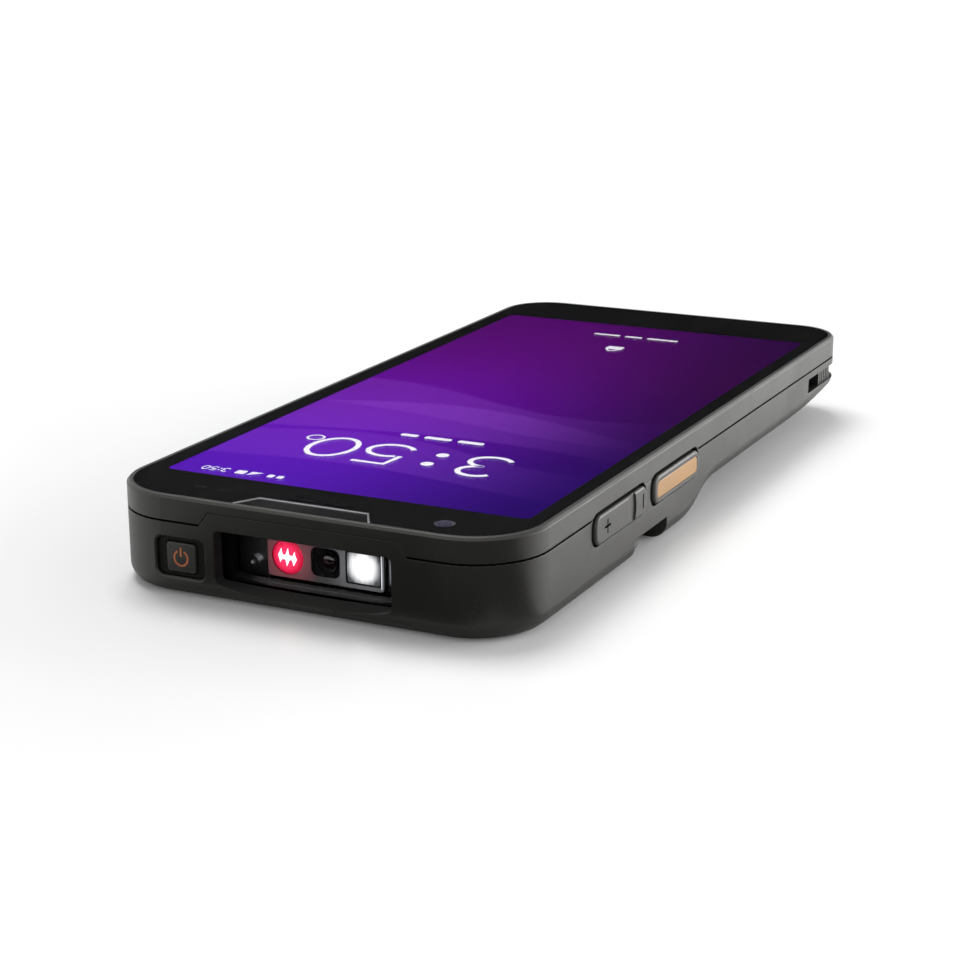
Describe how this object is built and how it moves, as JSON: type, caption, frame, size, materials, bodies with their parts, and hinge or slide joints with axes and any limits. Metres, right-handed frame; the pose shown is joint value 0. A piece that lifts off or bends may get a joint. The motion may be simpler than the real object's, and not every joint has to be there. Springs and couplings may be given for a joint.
{
  "type": "portable barcode data terminal",
  "caption": "Slim handheld computer with a large touch screen, side scan keys and a thicker scan head whose window faces forward over a bar-code imager.",
  "frame": {"origin": "under the middle of the body, on the scan head's flat underside", "axes": "+X to the right of the screen, +Y along the body to the scan head, +Z out of the screen"},
  "size_m": [0.0772, 0.1656, 0.017],
  "materials": {
    "housing_plastic": "fine-grained matte",
    "frame_plastic": "satin",
    "black_glass": "polished",
    "display": "lit screen",
    "clear_window": "polished",
    "lens_glass": "polished",
    "red_lens": "lit red lens",
    "white_lens": "lit white lens",
    "key_plastic": "satin",
    "orange_plastic": "satin",
    "seal_rubber": "matte",
    "black_plastic": "matte",
    "faceplate_metal": "satin grey",
    "magnesium": "cast",
    "steel": "bright",
    "gold": "plated",
    "circuit_board": "solder mask",
    "flex_film": "polyimide film",
    "chip_plastic": "moulded",
    "battery_wrap": "foil wrap",
    "woven_mesh": "fine mesh"
  },
  "bodies": {
    "terminal": {"rear_housing": "housing_plastic", "front_frame": "frame_plastic", "cover_glass": "black_glass", "earpiece_plate": "frame_plastic", "receiver_mesh": "woven_mesh", "receiver": "black_plastic", "front_camera": "black_plastic", "front_lens": "lens_glass", "light_sensor": "black_plastic", "display_panel": "display", "mid_chassis": "magnesium", "window_seal": "seal_rubber", "scan_window": "clear_window", "window_baffle": "black_plastic", "engine_body": "black_plastic", "engine_faceplate": "faceplate_metal", "aimer_lens": "red_lens", "imager_lens": "lens_glass", "illumination_lens": "white_lens", "engine_bracket": "steel", "engine_screws": "steel", "scan_flex": "flex_film", "power_button_seal": "seal_rubber", "power_switch_board": "circuit_board", "left_key_seal": "seal_rubber", "left_key_board": "circuit_board", "left_key_switches": "black_plastic", "right_key_seal": "seal_rubber", "right_key_board": "circuit_board", "right_key_switches": "black_plastic", "strap_pins": "steel", "lanyard_post": "black_plastic", "battery_connector": "black_plastic", "main_board": "circuit_board", "shield_cans": "steel", "board_chips": "chip_plastic", "card_socket": "steel", "lower_board": "circuit_board", "usb_port": "steel", "link_flex": "flex_film", "dock_contacts": "gold", "loudspeaker": "black_plastic", "rear_camera": "black_plastic", "rear_camera_window": "lens_glass", "flash_lens": "white_lens", "vibration_motor": "steel", "housing_screws": "steel"},
    "power_button": {"power_button": "key_plastic"},
    "volume_rocker": {"volume_rocker": "key_plastic"},
    "left_scan_key": {"left_scan_key": "key_plastic", "left_scan_key_pad": "orange_plastic"},
    "right_scan_key": {"right_scan_key": "key_plastic", "right_scan_key_pad": "orange_plastic"},
    "battery_pack": {"battery_cover": "housing_plastic", "battery_cell": "battery_wrap", "battery_seal": "seal_rubber", "battery_contact_pads": "gold"},
    "battery_latch": {"battery_latch": "key_plastic"}
  },
  "joints": [
    {"name": "power_press", "type": "slide", "parent": "terminal", "child": "power_button", "axis": [0, -1, 0], "range_m": [0, 0.00045], "stiffness_N_per_m": 900, "springref_m": -0.0004},
    {"name": "left_scan_press", "type": "slide", "parent": "terminal", "child": "left_scan_key", "axis": [1, 0, 0], "range_m": [0, 0.00045], "stiffness_N_per_m": 900, "springref_m": -0.0004},
    {"name": "right_scan_press", "type": "slide", "parent": "terminal", "child": "right_scan_key", "axis": [-1, 0, 0], "range_m": [0, 0.00045], "stiffness_N_per_m": 900, "springref_m": -0.0004},
    {"name": "volume_tilt", "type": "hinge", "parent": "terminal", "child": "volume_rocker", "pos_m": [-0.03677, 0.0421, 0.01013], "axis": [0, 0, 1], "range_deg": [-2, 2], "stiffness_Nm_per_rad": 0.6},
    {"name": "battery_lift_out", "type": "slide", "parent": "terminal", "child": "battery_pack", "axis": [0, 0, -1], "range_m": [0, 0.012]},
    {"name": "latch_slide", "type": "slide", "parent": "battery_pack", "child": "battery_latch", "axis": [0, -1, 0], "range_m": [0, 0.0014]}
  ]
}
